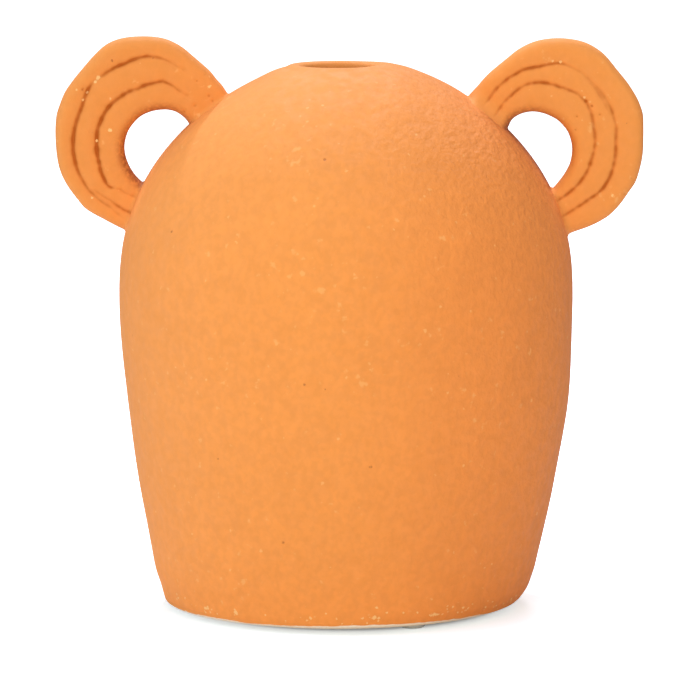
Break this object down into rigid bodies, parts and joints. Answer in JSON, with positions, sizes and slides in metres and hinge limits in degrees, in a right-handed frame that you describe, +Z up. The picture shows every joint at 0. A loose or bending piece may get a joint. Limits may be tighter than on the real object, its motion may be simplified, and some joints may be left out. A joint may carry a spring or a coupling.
{
  "type": "amphora vase",
  "caption": "Rounded matte ceramic vase with a narrow mouth and two ear-shaped ribbed handles, standing on clear pads.",
  "frame": {"origin": "on the vase's own axis, in the plane its bumper pads stand on; the middle of the object's base within 2 mm", "axes": "+Z up along the vase's axis; +X towards the right handle and -Y towards the front, as the picture shows them"},
  "size_m": [0.2481, 0.1922, 0.2422],
  "materials": {
    "orange_coat": "matte",
    "bare_clay": "matte",
    "clear_pad": "satin"
  },
  "bodies": {
    "root": {"body_wall": "orange_coat", "left_handle_inner_coil": "orange_coat", "left_handle_middle_coil": "orange_coat", "left_handle_outer_coil": "orange_coat", "right_handle_inner_coil": "orange_coat", "right_handle_middle_coil": "orange_coat", "right_handle_outer_coil": "orange_coat", "floor_slab": "bare_clay", "bumper_pad_front": "clear_pad", "bumper_pad_back": "clear_pad", "bumper_pad_left": "clear_pad"}
  },
  "joints": []
}
